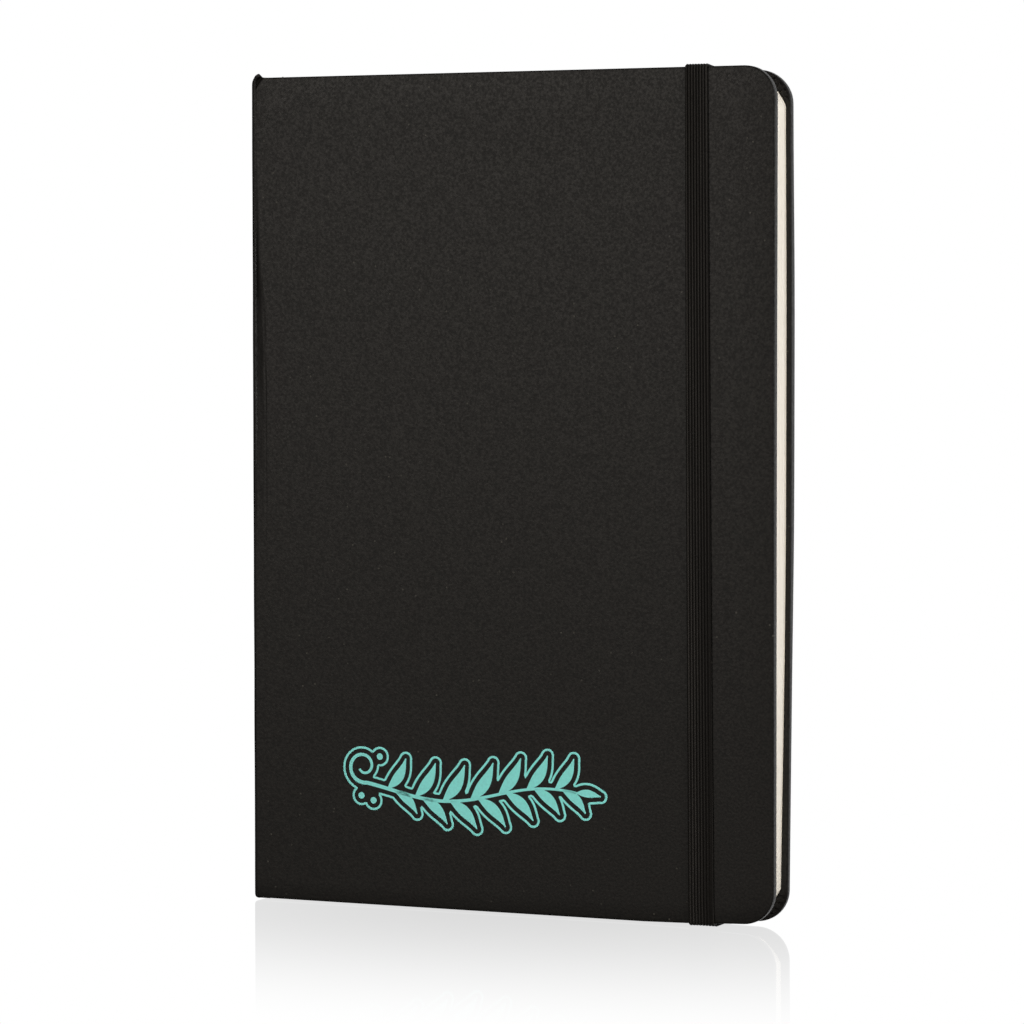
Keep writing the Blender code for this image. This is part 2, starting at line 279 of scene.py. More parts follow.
def add_rows(shape, axis, low, high, spacing):
    """Cuts the faces into rows, so that they can bend."""
    normal = Vector((0.0, 0.0, 0.0))
    normal[axis] = 1.0
    count = max(1, round((high - low) / spacing))
    for number in range(1, count):
        place = normal * (low + (high - low) * number / count)
        everything = shape.verts[:] + shape.edges[:] + shape.faces[:]
        bmesh.ops.bisect_plane(shape, geom=everything, dist=1e-7, plane_co=place, plane_no=normal)


def fold_wall(piece, thickness):
    """Gives folded leather its thickness and softens its cut ends."""
    wall = piece.modifiers.new("folded_thickness", "SOLIDIFY")
    wall.thickness = thickness
    wall.offset = -1.0
    rim = piece.modifiers.new("soft_ends", "BEVEL")
    rim.width = 0.22 * MM
    rim.segments = 3
    rim.limit_method = "ANGLE"
    rim.angle_limit = math.radians(60)


def settle(shape):
    """Gives a piece the wear of a used book, drawn in and softened at the fore-edge."""
    for vert in shape.verts:
        x, y, z = vert.co
        back = smooth_step(y, 4.5 * MM, 4.69 * MM)
        front = smooth_step(-y, 4.5 * MM, 4.69 * MM)
        side = 1 if y > 0 else 0
        reach = smooth_step(x, -75 * MM, 75 * MM)
        foot = 1 - smooth_step(z, -25 * MM, 105 * MM)
        head = smooth_step(z, 140 * MM, 215 * MM)
        belly = smooth_step(z, 55 * MM, 110 * MM) * (1 - smooth_step(z, 150 * MM, 205 * MM))
        bow = side * BACK_BOW * belly
        vert.co.y *= 1 - reach * (PINCH_FOOT[side] * foot + PINCH_HEAD[side] * head - bow)
        low = max(0.0, 1 - z / (5 * MM)) ** 2
        worn = low * FOOT_WEAR * smooth_step(abs(y), 4.75 * MM, HALF_THICKNESS)
        vert.co.y -= math.copysign(worn, y)
        creep = FOOT_CREEP[0] * front + FOOT_CREEP[1] * back
        vert.co.z += creep * smooth_step(x, 38 * MM, 68 * MM) * (1 - smooth_step(z, 0.0, 70 * MM))
        high = smooth_step(x, 56 * MM, 70 * MM) * smooth_step(z, 150 * MM, 210 * MM)
        vert.co.z -= HEAD_CREEP * back * high


def stand_back(shape):
    """Moves the fore-edge of the pages in from the boards, further at the foot."""
    for vert in shape.verts:
        reach = smooth_step(vert.co.x, -40 * MM, PAGE_RIGHT)
        slump = PAGE_BACK + PAGE_SLUMP * (1 - smooth_step(vert.co.z, -10 * MM, 75 * MM))
        vert.co.x -= slump * reach


def end_curve(reach, beyond):
    """How far a rounded end has come in, a distance beyond where its curve starts."""
    return SOFT_PULL * (reach - math.sqrt(max(0.0, reach**2 - beyond**2)))


def soften_head(shape):
    """Rounds off the top of the spine and of the joint next to it."""
    for vert in shape.verts:
        beyond = vert.co.z - (HEIGHT + SPINE_RISE - SPINE_HEAD)
        if beyond > 0:
            share = 1 - smooth_step(vert.co.x, SPINE_EDGE, LEATHER_EDGE - 0.4 * MM)
            vert.co.x += end_curve(SPINE_HEAD, beyond) * share


# ---------------------------------------------------------------- finishes


def new_finish(name, colour, roughness, specular=0.5):
    """A finish with its plain values set on the shader's own sockets."""
    finish = bpy.data.materials.new(name)
    finish.use_nodes = True
    shader = finish.node_tree.nodes["Principled BSDF"]
    shader.inputs["Base Color"].default_value = colour
    shader.inputs["Roughness"].default_value = roughness
    shader.inputs["Specular IOR Level"].default_value = specular
    finish.diffuse_color = colour
    return finish


class Bench:
    """Short names for adding and joining the nodes of one finish."""

    def __init__(self, finish):
        self.tree = finish.node_tree
        self.shader = self.tree.nodes["Principled BSDF"]
        self.place = self.tree.nodes.new("ShaderNodeTexCoord").outputs["Object"]

    def link(self, source, target):
        self.tree.links.new(source, target)

    def mapping(self, scale, turn=(0.0, 0.0, 0.0)):
        node = self.tree.nodes.new("ShaderNodeMapping")
        node.inputs["Scale"].default_value = scale
        node.inputs["Rotation"].default_value = turn
        self.link(self.place, node.inputs["Vector"])
        return node.outputs["Vector"]

    def cloud(self, scale, detail=3.0, roughness=0.5, vector=None):
        node = self.tree.nodes.new("ShaderNodeTexNoise")
        node.inputs["Scale"].default_value = scale
        node.inputs["Detail"].default_value = detail
        node.inputs["Roughness"].default_value = roughness
        self.link(vector or self.place, node.inputs["Vector"])
        return node.outputs["Fac"]

    def cells(self, scale, feature="F1", vector=None, dimensions="3D"):
        node = self.tree.nodes.new("ShaderNodeTexVoronoi")
        node.voronoi_dimensions = dimensions
        node.feature = feature
        node.inputs["Scale"].default_value = scale
        self.link(vector or self.place, node.inputs["Vector"])
        return node.outputs["Distance"]

    def math(self, operation, first, second=0.0):
        node = self.tree.nodes.new("ShaderNodeMath")
        node.operation = operation
        for socket, value in zip(node.inputs, (first, second)):
            if isinstance(value, (int, float)):
                socket.default_value = value
            else:
                self.link(value, socket)
        return node.outputs["Value"]

    def spread(self, value, low, high, to_low=0.0, to_high=1.0):
        node = self.tree.nodes.new("ShaderNodeMapRange")
        node.inputs["From Min"].default_value = low
        node.inputs["From Max"].default_value = high
        node.inputs["To Min"].default_value = to_low
        node.inputs["To Max"].default_value = to_high
        self.link(value, node.inputs["Value"])
        return node.outputs["Result"]

    def blend(self, amount, first, second):
        """Mixes two colours by an amount, each a colour or another mix."""
        node = self.tree.nodes.new("ShaderNodeMix")
        node.data_type = "RGBA"
        self.link(amount, node.inputs["Factor"])
        for socket, value in ((node.inputs[6], first), (node.inputs[7], second)):
            if isinstance(value, tuple):
                socket.default_value = value
            else:
                self.link(value, socket)
        return node.outputs[2]

    def axes(self):
        node = self.tree.nodes.new("ShaderNodeSeparateXYZ")
        self.link(self.place, node.inputs["Vector"])
        return node.outputs

    def bump(self, height, strength, depth):
        node = self.tree.nodes.new("ShaderNodeBump")
        node.inputs["Strength"].default_value = strength
        node.inputs["Distance"].default_value = depth
        self.link(height, node.inputs["Height"])
        last = self.shader.inputs["Normal"]
        if last.is_linked:
            self.link(last.links[0].from_socket, node.inputs["Normal"])
        self.link(node.outputs["Normal"], last)

    def colour(self, value):
        self.link(value, self.shader.inputs["Base Color"])

    def roughness(self, value):
        self.link(value, self.shader.inputs["Roughness"])


def black_leather():
    """Smooth black leather cloth: a fine even grain, satin, with a few specks of dust."""
    finish = new_finish("black_leather", (0.009, 0.008, 0.007, 1.0), 0.5, 0.42)
    bench = Bench(finish)
    pebbles = bench.cloud(1600.0, 2.0, 0.6)
    hills = bench.cloud(70.0, 2.0)
    grain = bench.cells(1500.0, "SMOOTH_F1")
    body = bench.blend(
        bench.spread(pebbles, 0.36, 0.64),
        (0.0018, 0.0016, 0.0014, 1.0),
        (0.0078, 0.007, 0.0059, 1.0),
    )
    flat = bench.mapping((1.0, 1.0, 1.0), (math.pi / 2, 0.0, 0.0))
    dust = bench.spread(bench.cells(125.0, "F1", flat, "2D"), 0.035, 0.018)
    rare = bench.spread(bench.cloud(38.0, 1.0), 0.53, 0.64, 0.0, 0.6)
    bench.colour(bench.blend(bench.math("MULTIPLY", dust, rare), body, (0.09, 0.085, 0.07, 1.0)))
    bench.roughness(bench.spread(pebbles, 0.35, 0.65, 0.55, 0.43))
    bench.bump(hills, 0.12, 0.00012)
    bench.bump(pebbles, 0.5, 0.00008)
    bench.bump(grain, 0.35, 0.00005)
    return finish


def woven_elastic():
    """Black braided elastic crossed by the weave, with painted shade: its colour is black in the grooves
    between the ribs and greyer on the ribs, standing in for the shade between them and the light on them.
    """
    finish = new_finish("woven_elastic", (0.008, 0.0072, 0.0064, 1.0), 0.7, 0.35)
    shader = finish.node_tree.nodes["Principled BSDF"]
    shader.inputs["Sheen Weight"].default_value = 0.05
    shader.inputs["Sheen Roughness"].default_value = 0.5
    bench = Bench(finish)
    x, y, z = bench.axes()
    slant = bench.math("MULTIPLY", z, BAND_SLANT / HEIGHT)
    left = -BAND_X - BAND_SLANT * BAND_PIVOT + BAND_WIDTH / 2
    across = bench.math("ADD", bench.math("ADD", x, slant), left)
    turns = bench.math("MULTIPLY", across, 2 * math.pi * BAND_RIBS / BAND_WIDTH)
    # Painted shade: this rib mask makes the colour black in the grooves and greyer on the ribs, in place
    # of the shade that falls between them; it also sets the roughness.
    rib_mask_and_painted_groove_shade = bench.spread(bench.math("COSINE", turns), 0.35, -0.55)
    run = bench.math("MULTIPLY", bench.math("ADD", y, z), 2 * math.pi / (0.42 * MM))
    weave = bench.math("SINE", bench.math("ADD", run, bench.math("MULTIPLY", turns, 0.5)))
    fluff = bench.cloud(2200.0, 3.0)
    yarn = bench.math("ADD", bench.math("MULTIPLY", weave, 0.25), bench.math("MULTIPLY", fluff, 1.6))
    streaks = bench.cloud(1.0, 1.0, 0.5, bench.mapping((900.0, 30.0, 30.0)))
    yarn = bench.spread(yarn, 0.35, 1.25, 0.5, 1.1)
    yarn = bench.math("MULTIPLY", yarn, bench.spread(streaks, 0.3, 0.6, 0.55, 1.1))
    yarn_tone_and_painted_groove_shade = bench.math("MULTIPLY", rib_mask_and_painted_groove_shade, yarn)
    # The near-black groove colour is painted shade, and the greyer rib colour is painted light on the rib
    # tops.
    bench.colour(bench.blend(yarn_tone_and_painted_groove_shade, (0.0042, 0.0034, 0.0028, 1.0), (0.0192, 0.0168, 0.0146, 1.0)))
    bench.roughness(bench.spread(rib_mask_and_painted_groove_shade, 0.0, 1.0, 0.95, 0.62))
    bench.bump(weave, 0.4, 0.00005)
    bench.bump(fluff, 0.3, 0.00003)
    return finish


def drawing_paper(name, light, dark):
    """Ivory paper: faint fibres on the faces, and fine lines of single sheets on the edges."""
    finish = new_finish(name, light, 0.82, 0.3)
    bench = Bench(finish)
    layers = bench.cloud(1.0, 3.0, 0.7, bench.mapping((40.0, 9500.0, 40.0)))
    fibres = bench.cloud(900.0, 4.0, 0.6)
    tooth = bench.cloud(2400.0, 3.0)
    mottle = bench.math("ADD", bench.math("MULTIPLY", layers, 0.65), bench.math("MULTIPLY", fibres, 0.35))
    bench.colour(bench.blend(bench.spread(mottle, 0.36, 0.62), dark, light))
    bench.roughness(bench.spread(fibres, 0.3, 0.7, 0.76, 0.9))
    bench.bump(tooth, 0.2, 0.00004)
    bench.bump(fibres, 0.15, 0.00005)
    return finish


def grey_board():
    """Pressed grey board inside the covers and the spine."""
    finish = new_finish("grey_board", srgb(150, 144, 132), 0.92, 0.2)
    bench = Bench(finish)
    fibres = bench.cloud(1.0, 4.0, 0.65, bench.mapping((420.0, 2400.0, 420.0)))
    flecks = bench.cells(700.0)
    body = bench.blend(bench.spread(fibres, 0.3, 0.7), srgb(122, 116, 106), srgb(168, 162, 150))
    bench.colour(bench.blend(bench.spread(flecks, 0.12, 0.05, 0.0, 0.5), body, srgb(70, 66, 60)))
    bench.bump(fibres, 0.35, 0.00012)
    return finish


def print_ink():
    """Screen-printed ink, with the grain of the leather just showing through."""
    finish = new_finish("print_ink", srgb(141, 239, 224), 0.5, 0.4)
    bench = Bench(finish)
    cover = bench.cloud(1500.0, 3.0, 0.6)
    thickness = bench.spread(cover, 0.35, 0.6)
    bench.colour(bench.blend(thickness, srgb(146, 244, 236), srgb(152, 252, 245)))
    bench.roughness(bench.spread(cover, 0.3, 0.7, 0.42, 0.6))
    bench.bump(bench.cloud(620.0, 3.0, 0.6), 0.2, 0.00006)
    return finish


def mull_gauze():
    """The open cotton weave glued over the sewn spine."""
    finish = new_finish("mull_gauze", srgb(216, 210, 196), 0.95, 0.1)
    bench = Bench(finish)
    _, y, z = bench.axes()
    across = bench.math("SINE", bench.math("MULTIPLY", y, 2 * math.pi / (0.9 * MM)))
    along = bench.math("SINE", bench.math("MULTIPLY", z, 2 * math.pi / (0.9 * MM)))
    weave = bench.math("MAXIMUM", across, along)
    holes = bench.spread(weave, -0.4, 0.8)
    bench.colour(bench.blend(holes, srgb(168, 156, 132), srgb(226, 221, 208)))
    bench.bump(weave, 0.6, 0.00012)
    return finish


def linen_thread():
    """Twisted linen thread across the folds of the sections."""
    finish = new_finish("linen_thread", srgb(226, 220, 205), 0.75, 0.2)
    bench = Bench(finish)
    _, y, z = bench.axes()
    turns = bench.math("MULTIPLY", bench.math("ADD", y, z), 2 * math.pi / (0.35 * MM))
    twist = bench.math("SINE", turns)
    lit = bench.spread(twist, -1.0, 1.0)
    bench.colour(bench.blend(lit, srgb(196, 188, 170), srgb(232, 227, 214)))
    bench.bump(twist, 0.5, 0.00005)
    return finish


def striped_band():
    """The worked head and tail bands: black silk with a twisted stripe."""
    finish = new_finish("striped_band", (0.02, 0.02, 0.02, 1.0), 0.5, 0.5)
    shader = finish.node_tree.nodes["Principled BSDF"]
    shader.inputs["Sheen Weight"].default_value = 0.2
    bench = Bench(finish)
    _, y, z = bench.axes()
    slant = bench.math("ADD", y, bench.math("MULTIPLY", z, 0.35))
    stripe = bench.math("SINE", bench.math("MULTIPLY", slant, 2 * math.pi / (0.5 * MM)))
    light = bench.spread(stripe, -0.2, 0.2)
    bench.colour(bench.blend(light, (0.012, 0.012, 0.012, 1.0), (0.045, 0.043, 0.04, 1.0)))
    bench.bump(stripe, 0.6, 0.00012)
    return finish


# ---------------------------------------------------------------- the case


def make_cover_leather(prefix, side, leather):
    """The covering over one board: face, rounded rim, and turn-in with pleated corners."""
    face = side * HALF_THICKNESS
    shape = blank(LEATHER_EDGE, HALF_WIDTH, 0.0, HEIGHT, face)
    for z in (0.0, HEIGHT):
        trim_corner(shape, HALF_WIDTH, z, CORNER_RADIUS, CORNER_RADIUS, CORNER_STEPS, 0.5)
    thicken(shape, -side * CASE)
    round_rim(shape, RIM_RADIUS, 4, LEATHER_EDGE + 1 * MM)

    def inwards(part):
        return -side * round(part.calc_center_median().y, 5), part.calc_area()

    inner = max(shape.faces, key=inwards)
    for width in (TURN_IN_START, PLEAT_REACH, TURN_IN_REST):
        bmesh.ops.inset_region(shape, faces=[inner], thickness=width, use_even_offset=True)
    bmesh.ops.delete(shape, geom=[inner], context="FACES_ONLY")

    level = face - side * CASE
    height = PLEAT_HEIGHT[1 if side > 0 else 0]
    centre_x = HALF_WIDTH - CORNER_RADIUS
    outer = CORNER_RADIUS - RIM_RADIUS
    for vert in shape.verts:
        if abs(vert.co.y - level) > 1e-6 or vert.co.x < centre_x:
            continue
        for centre_z in (CORNER_RADIUS, HEIGHT - CORNER_RADIUS):
            rise = abs(vert.co.z - HEIGHT / 2) - (HEIGHT / 2 - CORNER_RADIUS)
            if rise < 0 or abs(vert.co.z - centre_z) > CORNER_RADIUS:
                continue
            out = math.hypot(vert.co.x - centre_x, rise)
            if out > outer - 0.3 * MM or out < outer - PLEAT_REACH:
                continue
            step = round(math.atan2(rise, vert.co.x - centre_x) / (math.pi / 2) * CORNER_STEPS)
            uneven = noise.noise(Vector((step * 3.7, centre_z * 900, side)))
            fold = height * (0.75 + 0.5 * uneven)
            vert.co.y -= side * (fold if step % 2 else -PLEAT_HOLLOW)

    add_rows(shape, 2, 0.0, 6 * MM, 1 * MM)
    add_rows(shape, 2, 0.0, HEIGHT, 10 * MM)
    add_rows(shape, 0, LEATHER_EDGE, HALF_WIDTH, 11 * MM)
    settle(shape)
    piece = new_piece(prefix + "_cover_leather", shape, leather, 30)
    wall = piece.modifiers.new("leather_thickness", "SOLIDIFY")
    wall.thickness = LEATHER
    wall.offset = -1.0
    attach(piece, prefix + "_cover")
    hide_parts(prefix + "_covering")


def make_cover_board(prefix, side, board):
    """The stiff board inside the covering."""
    inset = BOARD_DEPTH
    right = HALF_WIDTH - inset
    reach = CORNER_RADIUS - inset
    shape = blank(BOARD_EDGE, right, inset, HEIGHT - inset, side * (HALF_THICKNESS - inset))
    for z in (inset, HEIGHT - inset):
        trim_corner(shape, right, z, reach, reach, CORNER_STEPS, 0.5)
    thicken(shape, -side * BOARD)
    add_rows(shape, 2, 0.0, HEIGHT, 15 * MM)
    add_rows(shape, 0, BOARD_EDGE, HALF_WIDTH, 22 * MM)
    settle(shape)
    piece = new_piece(prefix + "_cover_board", shape, board)
    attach(piece, prefix + "_cover")
    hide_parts(prefix + "_board")


def crease_depth(x, z):
    """How far the joint leather sinks: it slopes in from a wandering line to the spine."""
    line = JOINT_START + 2.9 * MM * (1 - smooth_step(z, 128 * MM, 190 * MM))
    line += 0.4 * MM * noise.noise(Vector((3.0, 7.0, z * 70)))
    middle = smooth_step(z, 90 * MM, 140 * MM) * (1 - smooth_step(z, 185 * MM, 205 * MM))
    depth = CREASE_DEPTH * middle + CREASE_BASE * smooth_step(z, 10 * MM, 110 * MM)
    depth *= 0.85 + 0.4 * noise.noise(Vector((1.0, 2.0, z * 60)))
    share = min(1.0, max(0.0, (line - x) / (line - SPINE_EDGE + 0.3 * MM)))
    slope = depth * share
    ridge = math.exp(-(((x - line) / PUCKER_WIDTH) ** 2))
    pucker = PUCKER_HEIGHT * ridge * smooth_step(z, 60 * MM, 130 * MM)
    pucker *= 0.7 + 0.9 * noise.noise(Vector((1.0, 5.0, z * 160)))
    lumps = LUMP_HEIGHT * noise.noise(Vector((x * 600, 5.0, z * 220)))
    lumps *= smooth_step(z, 30 * MM, 90 * MM)
    fold = (x - SPINE_EDGE) / FOLD_WIDTH + (HEIGHT + SPINE_RISE - z) / FOLD_DROP
    corner = 1 - smooth_step(fold, 0.8, 1.02)
    tuck = FOLD_DEPTH[0] + FOLD_DEPTH[1] * max(0.0, 1 - fold)
    return (slope + pucker + lumps) * (1 - corner) + tuck * corner


def make_joint_leather(prefix, side, leather):
    """The strip of covering that folds between the spine and a board."""
    shape = bmesh.new()
    place = facing_front(SPINE_EDGE, LEATHER_EDGE, 0.0, HEIGHT, side * HALF_THICKNESS)
    bmesh.ops.create_grid(shape, x_segments=24, y_segments=110, size=0.5, matrix=place)
    add_rows(shape, 2, HEIGHT - 8 * MM, HEIGHT, 0.3 * MM)
    if side > 0:
        bmesh.ops.reverse_faces(shape, faces=shape.faces[:])
    for vert in shape.verts:
        inside = smooth_step(vert.co.x, SPINE_EDGE, SPINE_EDGE + 0.3 * MM)
        inside *= 1 - smooth_step(vert.co.x, LEATHER_EDGE - 0.6 * MM, LEATHER_EDGE)
        vert.co.y -= side * crease_depth(vert.co.x, vert.co.z) * inside
        near_spine = 1 - smooth_step(vert.co.x, -69.4 * MM, -67.2 * MM)
        vert.co.z += SPINE_RISE * smooth_step(vert.co.z, 190 * MM, HEIGHT) * near_spine
    soften_head(shape)
    settle(shape)
    piece = new_piece(prefix + "_joint_leather", shape, leather, 60)
    fold_wall(piece, JOINT_WALL)
    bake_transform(piece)
    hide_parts(prefix + "_joint_covering")


def make_spine_leather(leather):
    """The spine's covering: square across, soft at its two edges, turned in at each end."""
    top = HEIGHT + SPINE_RISE
    shape = bmesh.new()
    place = (
        Matrix.Translation(((SPINE_EDGE - HALF_WIDTH) / 2, 0.0, top / 2))
        @ Matrix.Diagonal((SPINE_EDGE + HALF_WIDTH, 2 * HALF_THICKNESS, top, 1.0))
    )
    bmesh.ops.create_cube(shape, size=1.0, matrix=place)
    spare = []
    for part in shape.faces:
        middle = part.calc_center_median()
        if middle.x > SPINE_EDGE - 0.01 * MM or middle.z > top - 0.01 * MM or middle.z < 0.01 * MM:
            spare.append(part)
    bmesh.ops.delete(shape, geom=spare, context="FACES_ONLY")
    loose = [edge for edge in shape.edges if not edge.link_faces]
    bmesh.ops.delete(shape, geom=loose, context="EDGES")
    edges = [edge for edge in shape.edges if edge.calc_face_angle(0.0) > 1.0]
    bmesh.ops.bevel(
        shape,
        geom=edges,
        offset=SPINE_RADIUS,
        offset_type="OFFSET",
        affect="EDGES",
        segments=8,
        profile=0.5,
        material=-1,
    )
    add_rows(shape, 2, 0.0, top, 3 * MM)
    for low, reach in ((0.0, SPINE_FOOT), (top - SPINE_HEAD, SPINE_HEAD)):
        add_rows(shape, 2, low, low + reach, 0.2 * MM)
    add_rows(shape, 1, -HALF_THICKNESS, HALF_THICKNESS, 1.2 * MM)
    for vert in shape.verts:
        wander = noise.noise(Vector((vert.co.y * 120, 9.0, vert.co.z * 60)))
        vert.co.x += 0.06 * MM * wander
        beyond = SPINE_FOOT - vert.co.z
        if beyond > 0:
            vert.co.x += end_curve(SPINE_FOOT, beyond)
    soften_head(shape)
    bmesh.ops.recalc_face_normals(shape, faces=shape.faces[:])
    piece = new_piece("spine_leather", shape, leather, 60)
    fold_wall(piece, SPINE_WALL)
    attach(piece, "text_block")
    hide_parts("spine_covering")


# ---------------------------------------------------------------- paper


def add_sheet(shape, left, near, far):
    """One trimmed sheet of the book, between two depths, added to a bmesh."""
    sheet = blank(left, PAGE_RIGHT, PAGE_LOW, PAGE_HIGH, near)
    for z, cut in ((PAGE_LOW, FOOT_CUT), (PAGE_HIGH, HEAD_CUT)):
        trim_corner(sheet, PAGE_RIGHT, z, PAGE_CUT, cut, 5, 0.32)
    thicken(sheet, far - near)
    spare = bpy.data.meshes.new("sheet")
    sheet.to_mesh(spare)
    sheet.free()
    shape.from_mesh(spare)
    bpy.data.meshes.remove(spare)


def depth_of(node):
    """The front and back depths of a sheet in the frame."""
    low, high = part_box(node)
    return low.y, high.y


def make_pastedown(prefix, paper):
    """The endpaper pasted down on the inside of a board."""
    shape = bmesh.new()
    low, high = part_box(prefix + "_pastedown")
    add_sheet(shape, low.x, low.y, high.y)
    add_rows(shape, 2, 0.0, HEIGHT, 12 * MM)
    add_rows(shape, 0, low.x, HALF_WIDTH, 20 * MM)
    stand_back(shape)
    settle(shape)
    piece = new_piece(prefix + "_pastedown_sheet", shape, paper)
    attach(piece, prefix + "_cover")
    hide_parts(prefix + "_pastedown")


def make_endpaper_hinge(prefix, side, paper):
    """The endpaper where it folds from the pages across to the board."""
    low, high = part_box(prefix + "_joint_paper")
    shape = blank(low.x, high.x, low.z, high.z, low.y)
    thicken(shape, high.y - low.y)
    add_rows(shape, 0, low.x, high.x, 0.12 * MM)
    add_rows(shape, 2, low.z, high.z, 15 * MM)
    piece = new_piece(prefix + "_endpaper_hinge", shape, paper)
    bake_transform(piece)
    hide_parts(prefix + "_joint_paper")


def make_leaf(node, paper):
    """A loose leaf, cut into close rows near the gutter so that it can curve there."""
    near, far = depth_of(node)
    shape = bmesh.new()
    add_sheet(shape, PAGE_LEFT, near, far)
    add_rows(shape, 0, PAGE_LEFT, GUTTER_END, 0.9 * MM)
    add_rows(shape, 0, GUTTER_END - 1 * MM, PAGE_RIGHT, 16 * MM)
    add_rows(shape, 2, 0.0, HEIGHT, 15 * MM)
    stand_back(shape)
    settle(shape)
    piece = new_piece(node + "_sheet", shape, paper)
    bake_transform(piece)
    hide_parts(node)


def make_section(node, paper):
    """One sewn section: a few folded sheets, each with its own edge."""
    near, far = depth_of(node)
    shape = bmesh.new()
    pitch = (far - near) / SHEETS_IN_SECTION
    for number in range(SHEETS_IN_SECTION):
        start = near + pitch * number
        add_sheet(shape, PAGE_LEFT, start, start + pitch - SHEET_SPACE)
    add_rows(shape, 2, 0.0, HEIGHT, 15 * MM)
    add_rows(shape, 0, PAGE_LEFT, PAGE_RIGHT, 30 * MM)
    stand_back(shape)
    settle(shape)
    piece = new_piece(node + "_sheets", shape, paper)
    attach(piece, "text_block")
    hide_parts(node)


# ---------------------------------------------------------------- elastic


def band_path():
    """Centre line of the elastic in the YZ plane, as (y, z, degrees of its outward normal)."""
    out = HALF_THICKNESS + BAND_GAP + BAND_THICKNESS / 2
    radius = BAND_BEND + BAND_GAP + BAND_THICKNESS / 2
    centre = out - radius
    low = radius - BAND_GAP - BAND_THICKNESS / 2
    high = HEIGHT - low
    path = []

    def run(start, end, count, turn):
        for step in range(count + 1):
            t = step / count
            y = start[0] + (end[0] - start[0]) * t
            z = start[1] + (end[1] - start[1]) * t
            path.append((y, z, turn))

    def bend(y, z, start, end, reach, count=8):
        for step in range(1, count):
            turn = start + (end - start) * step / count
            angle = math.radians(turn)
            path.append((y + reach * math.cos(angle), z + reach * math.sin(angle), turn))

    tuck = BAND_TUCK
    run((HALF_THICKNESS - BAND_BURIED, HEIGHT - BAND_SLOT), (out - tuck, HEIGHT - BAND_SLOT), 3, -90.0)
    bend(out - tuck, HEIGHT - BAND_SLOT + tuck, -90.0, 0.0, tuck)
    run((out, HEIGHT - BAND_SLOT + tuck), (out, high), 4, 0.0)
    bend(centre, high, 0.0, 90.0, radius)
    run((centre, high + radius), (-centre, high + radius), 16, 90.0)
    bend(-centre, high, 90.0, 180.0, radius)
    run((-out, high), (-out, low), 40, 180.0)
    bend(-centre, low, 180.0, 270.0, radius)
    run((-centre, low - radius), (centre, low - radius), 12, 270.0)
    bend(centre, low, 270.0, 360.0, radius)
    run((out, low), (out, BAND_SLOT - tuck), 4, 360.0)
    bend(out - tuck, BAND_SLOT - tuck, 360.0, 450.0, tuck)
    run((out - tuck, BAND_SLOT), (HALF_THICKNESS - BAND_BURIED, BAND_SLOT), 3, 450.0)
    return path


def make_elastic(elastic):
    """The ribbed elastic in one length, from slot to slot over head and foot."""
    shape = bmesh.new()
    bmesh.ops.create_grid(shape, x_segments=BAND_RIBS * 6, y_segments=1, size=0.5)
    half = BAND_THICKNESS / 2
    for vert in shape.verts:
        across = vert.co.x
        edge = min(1.0, (0.5 - abs(across)) / 0.035)
        body = half * math.sqrt(max(0.0, 1 - (1 - edge) ** 2)) if edge < 1 else half
        wave = 0.5 + 0.5 * math.cos((across + 0.5) * BAND_RIBS * 2 * math.pi)
        level = max(BAND_LEAST, body - BAND_GROOVE * wave**1.6)
        vert.co = Vector((BAND_X + across * BAND_WIDTH, level if vert.co.y > 0 else -level, 0.0))

    def stand(y, z, turn):
        angle = math.radians(turn)
        return Matrix(
            (
                (1.0, 0.0, 0.0, 0.0),
                (0.0, math.cos(angle), -math.sin(angle), y),
                (0.0, math.sin(angle), math.cos(angle), z),
                (0.0, 0.0, 0.0, 1.0),
            )
        )

    path = band_path()
    last = stand(*path[0])
    bmesh.ops.transform(shape, matrix=last, verts=shape.verts[:])
    front = shape.faces[:]
    for place in path[1:]:
        result = bmesh.ops.extrude_face_region(shape, geom=front)
        moved = [item for item in result["geom"] if isinstance(item, bmesh.types.BMVert)]
        fresh = [item for item in result["geom"] if isinstance(item, bmesh.types.BMFace)]
        if place is not path[1]:
            bmesh.ops.delete(shape, geom=front, context="FACES_ONLY")
        here = stand(*place)
        bmesh.ops.transform(shape, matrix=here @ last.inverted(), verts=moved)
        front = fresh
        last = here
    bmesh.ops.remove_doubles(shape, verts=shape.verts[:], dist=1e-7)
    bmesh.ops.recalc_face_normals(shape, faces=shape.faces[:])
    for vert in shape.verts:
        if vert.co.z < 0:
            vert.co.z *= 0.8
        climb = vert.co.z / HEIGHT
        vert.co.x = BAND_X + (vert.co.x - BAND_X) * (1.1 - BAND_SPREAD * climb)
        vert.co.x += BAND_SLANT * (BAND_PIVOT - climb)
        if vert.co.z > HEIGHT - 1 * MM and abs(vert.co.y) < HALF_THICKNESS:
            vert.co.z -= BAND_DIP * math.cos(vert.co.y / HALF_THICKNESS * math.pi / 2) ** 1.5
    settle(shape)
    piece = new_piece("ribbed_elastic", shape, elastic, 50)
    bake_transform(piece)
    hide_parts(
        "elastic_front_run",
        "elastic_head_leg",
        "elastic_tail_leg",
        "elastic_anchor_head",
        "elastic_anchor_tail",
    )


# ---------------------------------------------------------------- printed sprig


def stem_point(t):
    """A point along the waved stem, from 0 at its curl to 1 at its tip."""
    x = SPRIG_LEFT + (SPRIG_RIGHT - SPRIG_LEFT) * t
    z = SPRIG_Z - SPRIG_WAVE * math.sin((t - 0.12) * 2.0 * math.pi)
    return x, z


def leaf_point(base, direction, length, bow, t):
    """A point down the middle of a leaf that bows gently to one side."""
    along = (math.cos(direction), math.sin(direction))
    side = bow * math.sin(math.pi * t)
    return (
        base[0] + along[0] * length * t - along[1] * side,
        base[1] + along[1] * length * t + along[0] * side,
    )


